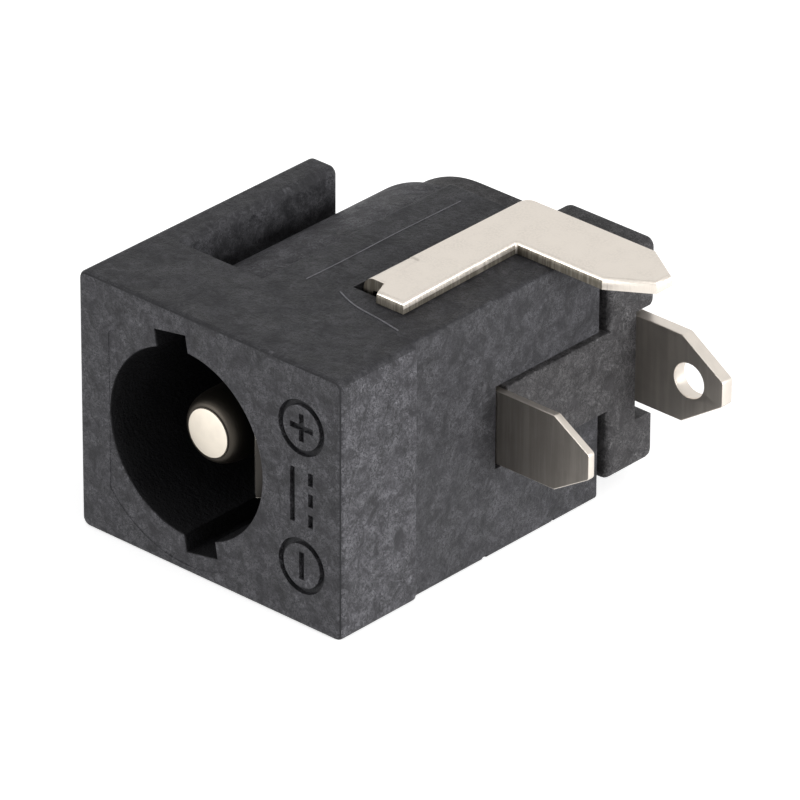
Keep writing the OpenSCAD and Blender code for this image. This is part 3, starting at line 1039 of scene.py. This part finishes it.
# %% The metal recipe
def metal(name, dull_painted_dark_reflection, bright_and_painted_reflection, stretch, depth, rough_dull, rough_bright, striae=0.5):
    """A plated metal, from a dark colour that is a painted dark reflection to a bright colour that is
    partly burnish and partly a painted reflection, by its face attribute, with streaks where dull.
    """
    finish, tree, shader, position, edge, wear_and_painted_light = start_finish(name)
    streaks = noise(tree, position, 2.0, 5.0, 0.6, (-1000, 200), stretch)
    cloud = noise(tree, position, 1.3, 4.0, 0.6, (-1000, -100))
    worn = place_group(tree, wear_group, (-1000, -350), Position=position, Edge=edge, Spread=0.85)
    uneven = math(tree, "MULTIPLY_ADD", remap(tree, cloud, 0.3, 0.7, (-800, 50)), -0.1, (-650, 50))
    uneven.node.inputs[2].default_value = 1.0
    # Painted reflection and highlight: the face attribute and the worn edges pick the bright colour. On
    # the edges that is partly wear and partly a painted highlight.
    share = math(tree, "MULTIPLY", math(tree, "MAXIMUM", wear_and_painted_light, worn["Mask"], (-800, -200)),
                 uneven, (-500, 0), True)
    left = math(tree, "SUBTRACT", 1.0, share, (-400, 150), True)
    stripes = math(tree, "MULTIPLY", remap(tree, streaks, 0.42, 0.64, (-700, 250)),
                   math(tree, "MULTIPLY", left, math(tree, "MULTIPLY", wear_and_painted_light, striae, (-400, 300)),
                        (-250, 200)), (-150, 250))
    share = math(tree, "ADD", share, stripes, (-50, 50), True)
    wire(tree, blend(tree, share, dull_painted_dark_reflection, bright_and_painted_reflection, (100, 200)), shader, "Base Color")
    rough = remap(tree, share, 0.0, 1.0, (100, -50), rough_dull, rough_bright)
    grit = math(tree, "MULTIPLY_ADD", streaks, 0.12, (250, -50))
    wire(tree, rough, grit.node, 2)
    wire(tree, grit, shader, "Roughness")
    shader.inputs["Metallic"].default_value = 1.0
    wire(tree, bump(tree, streaks, depth, (300, -300)), shader, "Normal")
    return finish


TIN = (0.75, 0.69, 0.62)
NICKEL = (0.72, 0.66, 0.57)
# The first colour of each metal is dark, a painted dark reflection; the second is the plate's own
# colour.
pin_finish = metal("turned nickel", (0.05, 0.044, 0.037), NICKEL, (1.0, 6.0, 1.0), 0.006, 0.4, 0.4)
centre_finish = metal("centre tin", (0.12, 0.113, 0.105), TIN, (2.0, 1.0, 0.12), 0.008, 0.42, 0.3, 0.35)
sleeve_finish = metal("sleeve tin", (0.05, 0.046, 0.042), TIN, (2.0, 1.0, 0.12), 0.008, 0.4, 0.3, 0.35)
switch_finish = metal("switch tin", (0.085, 0.075, 0.054), TIN, (6.0, 6.0, 0.4), 0.012, 0.42, 0.34, 1.6)
print("metals:", pin_finish.name, centre_finish.name, sleeve_finish.name, switch_finish.name)

# %% Dress the pieces
dress(housing, "housing", housing_finish)
dress(insulator, "rear_insulator", insulator_finish)
dress(pin, "centre_pin", pin_finish)
dress(centre, "centre_terminal", centre_finish)
dress(sleeve, "sleeve_spring", sleeve_finish)
dress(switch, "switch_terminal", switch_finish)

# %% [markdown]
# ## Table, light and camera
#
# The jack lies on a plain white table. The table takes the light as any white surface
# does, so it keeps the jack's shadow, and it glows a little for the camera alone, so
# that its lit parts reach full white without more light on the jack. The world is
# handled the same way: it lights softly, and what the camera or a reflection sees of
# it is white.

# %% The table
FLOOR_HALF = 0.6
TABLE_GLOW = 0.62
floor_mesh = bpy.data.meshes.new("table")
corners = [(-1, -1), (1, -1), (1, 1), (-1, 1)]
floor_mesh.from_pydata([(x * FLOOR_HALF, y * FLOOR_HALF, HOUSING_LOW.z * MM) for x, y in corners],
                       [], [(0, 1, 2, 3)])
table = bpy.data.objects.new("table", floor_mesh)
bpy.context.scene.collection.objects.link(table)

table_finish = bpy.data.materials.new("white table")
table_finish.use_nodes = True
tree = table_finish.node_tree
table_shader = tree.nodes["Principled BSDF"]
table_shader.inputs["Base Color"].default_value = (0.86, 0.86, 0.86, 1.0)
table_shader.inputs["Roughness"].default_value = 0.9
table_shader.inputs["Specular IOR Level"].default_value = 0.0
table_shader.inputs["Emission Color"].default_value = (1.0, 1.0, 1.0, 1.0)
ray = add(tree, "ShaderNodeLightPath", (-500, -200))
seen = math(tree, "MAXIMUM", ray.outputs["Is Camera Ray"], ray.outputs["Is Glossy Ray"], (-300, -200))
wire(tree, math(tree, "MULTIPLY", seen, TABLE_GLOW, (-150, -200)), table_shader,
     "Emission Strength")
table.data.materials.append(table_finish)
print("table:", 2 * FLOOR_HALF, "m across")

# %% The world
ROOM_LIGHT = 0.45
world = bpy.data.worlds.new("soft room")
bpy.context.scene.world = world
world.use_nodes = True
tree = world.node_tree
tree.nodes.clear()
room = add(tree, "ShaderNodeBackground", (0, 100))
room.inputs["Color"].default_value = (1.0, 1.0, 1.0, 1.0)
room.inputs["Strength"].default_value = ROOM_LIGHT
plain = add(tree, "ShaderNodeBackground", (0, -100))
plain.inputs["Strength"].default_value = 1.0
plain.inputs["Color"].default_value = (1.0, 1.0, 1.0, 1.0)
ray = add(tree, "ShaderNodeLightPath", (-600, 0))
seen = math(tree, "MAXIMUM", ray.outputs["Is Camera Ray"], ray.outputs["Is Glossy Ray"], (-400, 0))
seen = math(tree, "MAXIMUM", seen, ray.outputs["Is Transmission Ray"], (-200, 0))
mixed = add(tree, "ShaderNodeMixShader", (250, 0))
wire(tree, seen, mixed, 0)
tree.links.new(room.outputs[0], mixed.inputs[1])
tree.links.new(plain.outputs[0], mixed.inputs[2])
sky = add(tree, "ShaderNodeOutputWorld", (450, 0))
tree.links.new(mixed.outputs[0], sky.inputs["Surface"])
print("room light:", ROOM_LIGHT)

# %% [markdown]
# ### The camera
#
# A long lens from a fair distance keeps the jack's edges almost parallel, as in a
# catalogue picture. The camera's place follows from a turn, a rise and a distance, and
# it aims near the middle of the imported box.

# %% Camera
VIEW_TURN, VIEW_RISE, VIEW_ROLL = radians(42.20), radians(28.67), radians(0.21)
VIEW_DISTANCE = 280.2
LENS = 406.6
middle = (cad_box[0] + cad_box[1]) / 2 / MM
aim = middle + Vector((-0.255, -0.26, -0.513))

back = Vector((sin(VIEW_TURN) * cos(VIEW_RISE), -cos(VIEW_TURN) * cos(VIEW_RISE), sin(VIEW_RISE)))
right = Vector((cos(VIEW_TURN), sin(VIEW_TURN), 0.0))
up = back.cross(right)
tilted_right = right * cos(VIEW_ROLL) + up * sin(VIEW_ROLL)
tilted_up = up * cos(VIEW_ROLL) - right * sin(VIEW_ROLL)

lens = bpy.data.cameras.new("catalogue lens")
lens.lens = LENS
lens.sensor_width = 36.0
lens.clip_start = 0.01
camera = bpy.data.objects.new("catalogue lens", lens)
bpy.context.scene.collection.objects.link(camera)
turn = Matrix((tilted_right, tilted_up, back)).transposed().to_4x4()
camera.matrix_world = Matrix.Translation((aim + back * VIEW_DISTANCE) * MM) @ turn
bpy.context.scene.camera = camera
print("camera aims at", [round(c, 2) for c in aim])


# %% Lamps
def lamp(name, towards, distance, size, watts):
    """A square soft lamp at a distance from the jack, facing it."""
    light = bpy.data.lights.new(name, "AREA")
    light.size = size
    light.energy = watts
    holder = bpy.data.objects.new(name, light)
    way = Vector(towards).normalized()
    holder.location = middle * MM + way * distance
    holder.rotation_euler = way.to_track_quat("Z", "Y").to_euler()
    bpy.context.scene.collection.objects.link(holder)
    return holder


LAMP_AWAY = 0.3
lamps = [lamp("board side softbox", (1.0, 0.15, 0.2), LAMP_AWAY, 0.15, 1.1),
         lamp("front softbox", (-0.4, -1.0, 0.1), LAMP_AWAY, 0.2, 0.75)]
print("lamps:", ", ".join(light.name for light in lamps))

# %% Colour
bpy.context.scene.view_settings.view_transform = "Standard"
